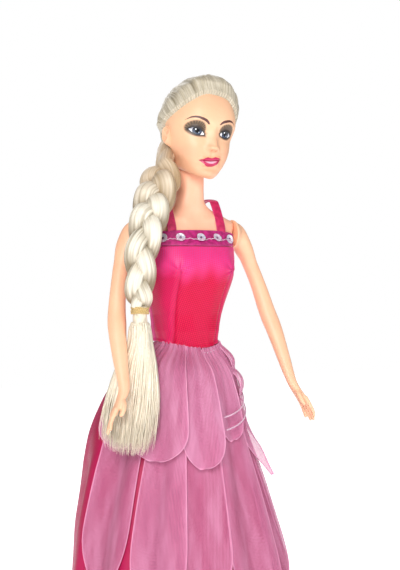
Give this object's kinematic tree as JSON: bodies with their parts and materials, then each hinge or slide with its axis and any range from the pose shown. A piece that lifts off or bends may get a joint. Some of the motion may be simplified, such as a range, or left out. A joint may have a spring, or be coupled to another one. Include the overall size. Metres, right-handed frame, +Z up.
{
  "type": "fashion doll",
  "caption": "Dressed fashion doll with a long side braid, strappy fitted bodice and sheer petal skirt; head, arms and legs turn on real joints.",
  "frame": {"origin": "on the floor under the middle of the doll's outer box", "axes": "+Z up through the head, -Y the way the doll faces, +X its own left side"},
  "size_m": [0.1005, 0.1004, 0.2922],
  "materials": {
    "body_plastic": "satin moulded plastic",
    "face_vinyl": "soft vinyl with painted features",
    "hair_fibre": "combed synthetic fibre",
    "hair_elastic": "twisted thread",
    "satin": "satin weave",
    "underskirt_satin": "satin weave",
    "organza": "sheer plain weave",
    "ribbon": "ribbed ribbon",
    "sequin": "bright",
    "thread": "spun thread",
    "steel": "drawn wire",
    "shoe_plastic": "moulded",
    "hook_tape": "hook and loop tape"
  },
  "bodies": {
    "torso": {"torso_front": "body_plastic", "torso_back": "body_plastic", "neck_knob": "body_plastic", "hip_block": "body_plastic", "hip_pin": "steel", "bodice_front": "satin", "bodice_back_left": "satin", "bodice_back_right": "satin", "back_closure_strip": "hook_tape", "waist_tape": "ribbon", "neckline_band": "ribbon", "strap_left": "ribbon", "strap_right": "ribbon", "sequin_thread": "thread", "sequin_1": "sequin", "sequin_2": "sequin", "sequin_3": "sequin", "sequin_4": "sequin", "sequin_5": "sequin", "underskirt_back": "underskirt_satin", "lower_petal_right_side": "organza", "lower_petal_left_side": "organza", "upper_petal_right_side": "organza", "upper_petal_left_back": "organza", "braid_root": "hair_fibre", "braid_strand_1": "hair_fibre", "braid_strand_2": "hair_fibre", "braid_strand_3": "hair_fibre", "braid_bound_end": "hair_fibre", "braid_tie": "hair_elastic", "braid_tail": "hair_fibre"},
    "head": {"head_shell": "face_vinyl", "hair_cap": "hair_fibre"},
    "arm_left": {"arm_left": "body_plastic"},
    "arm_right": {"arm_right": "body_plastic"},
    "leg_left": {"leg_left": "body_plastic", "shoe_left": "shoe_plastic"},
    "leg_right": {"leg_right": "body_plastic", "shoe_right": "shoe_plastic"},
    "skirt_left": {"underskirt_front_left": "underskirt_satin", "lower_petal_centre_front": "organza", "lower_petal_left_front": "organza", "upper_petal_left_front": "organza", "upper_petal_left_side": "organza", "side_thread_upper": "thread", "side_thread_lower": "thread"},
    "skirt_right": {"underskirt_front_right": "underskirt_satin", "lower_petal_right_front": "organza", "upper_petal_right_front": "organza", "upper_petal_centre_front": "organza"}
  },
  "joints": [
    {"name": "head_turn", "type": "hinge", "parent": "torso", "child": "head", "pos_m": [0.0015, 0, 0.25265], "axis": [0, 0, 1], "range_deg": [-65, 65], "deforming": ["braid_root", "braid_strand_1", "braid_strand_2", "braid_strand_3", "braid_bound_end", "braid_tie", "braid_tail"]},
    {"name": "shoulder_left", "type": "hinge", "parent": "torso", "child": "arm_left", "pos_m": [0.0208, 0, 0.2285], "axis": [-1, 0, 0], "continuous": true},
    {"name": "shoulder_right", "type": "hinge", "parent": "torso", "child": "arm_right", "pos_m": [-0.0208, 0, 0.2285], "axis": [-1, 0, 0], "continuous": true},
    {"name": "hip_left", "type": "hinge", "parent": "torso", "child": "leg_left", "pos_m": [0.012, 0, 0.15], "axis": [-1, 0, 0], "range_deg": [-20, 90], "deforming": ["underskirt_back", "lower_petal_right_side", "lower_petal_left_side", "upper_petal_right_side", "upper_petal_left_back"]},
    {"name": "hip_right", "type": "hinge", "parent": "torso", "child": "leg_right", "pos_m": [-0.012, 0, 0.15], "axis": [-1, 0, 0], "range_deg": [-20, 90], "deforming": ["underskirt_back", "lower_petal_right_side", "lower_petal_left_side", "upper_petal_right_side", "upper_petal_left_back"]},
    {"name": "skirt_left_lift", "type": "hinge", "parent": "torso", "child": "skirt_left", "pos_m": [0.012, 0, 0.183], "axis": [-1, 0, 0], "range_deg": [-14, 61], "deforming": ["underskirt_front_left", "lower_petal_centre_front", "lower_petal_left_front", "upper_petal_left_front", "upper_petal_left_side", "side_thread_upper", "side_thread_lower"]},
    {"name": "skirt_right_lift", "type": "hinge", "parent": "torso", "child": "skirt_right", "pos_m": [-0.012, 0, 0.183], "axis": [-1, 0, 0], "range_deg": [-14, 61], "deforming": ["underskirt_front_right", "lower_petal_right_front", "upper_petal_right_front", "upper_petal_centre_front"]}
  ],
  "couplings": [
    {"joint": "skirt_left_lift", "follows": "hip_left", "ratio": 0.67},
    {"joint": "skirt_right_lift", "follows": "hip_right", "ratio": 0.67}
  ]
}
